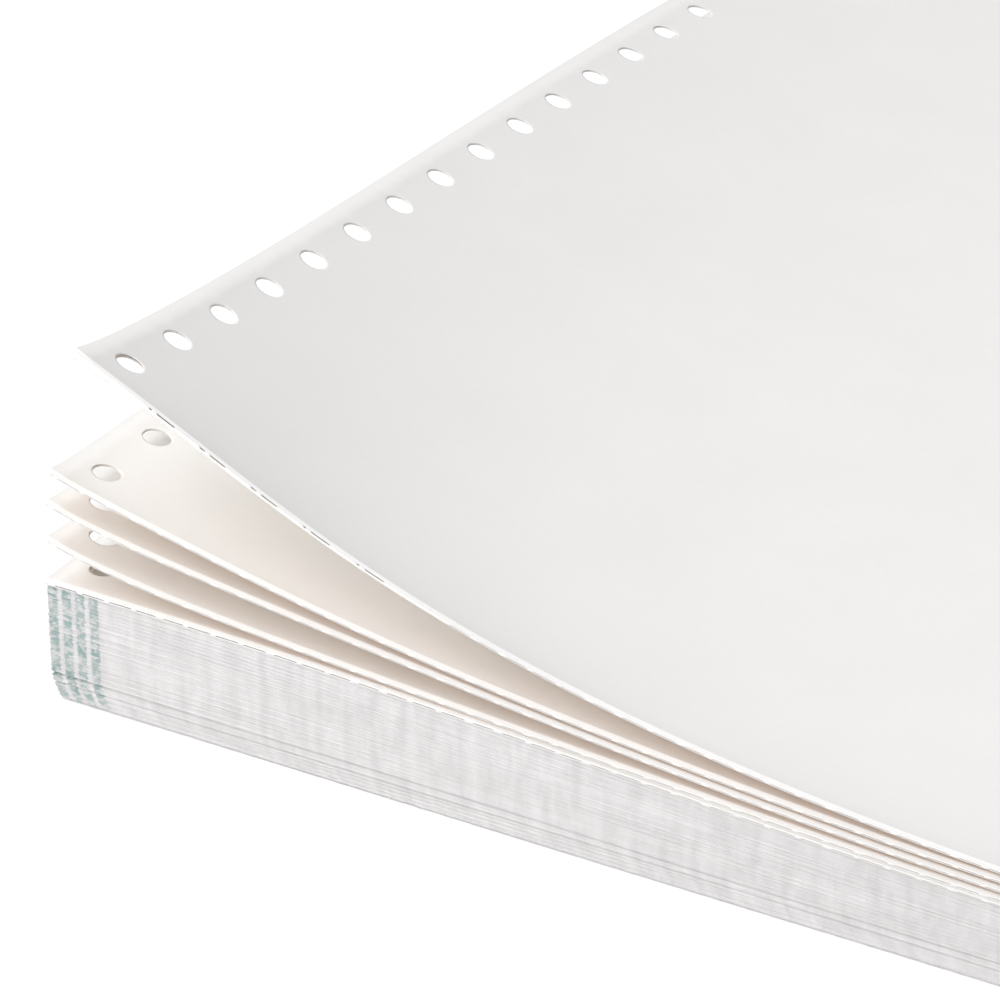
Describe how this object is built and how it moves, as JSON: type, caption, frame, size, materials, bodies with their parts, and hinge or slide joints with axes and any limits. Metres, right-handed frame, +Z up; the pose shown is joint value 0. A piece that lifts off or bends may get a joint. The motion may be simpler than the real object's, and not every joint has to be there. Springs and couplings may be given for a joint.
{
  "type": "fanfold continuous form paper",
  "caption": "Pile of blank continuous form paper folded back and forth, with round sprocket holes along both edges and the top leaves curling up at one corner.",
  "frame": {"origin": "middle of the footprint, on the surface the pile lies on", "axes": "+X along the folds, away from the curled corner; +Y from the front folds to the back folds; +Z up through the pile"},
  "size_m": [0.2428, 0.2794, 0.0534],
  "materials": {
    "paper": "uncoated matt"
  },
  "bodies": {
    "root": {"fanfold_strip": "paper"}
  },
  "joints": []
}
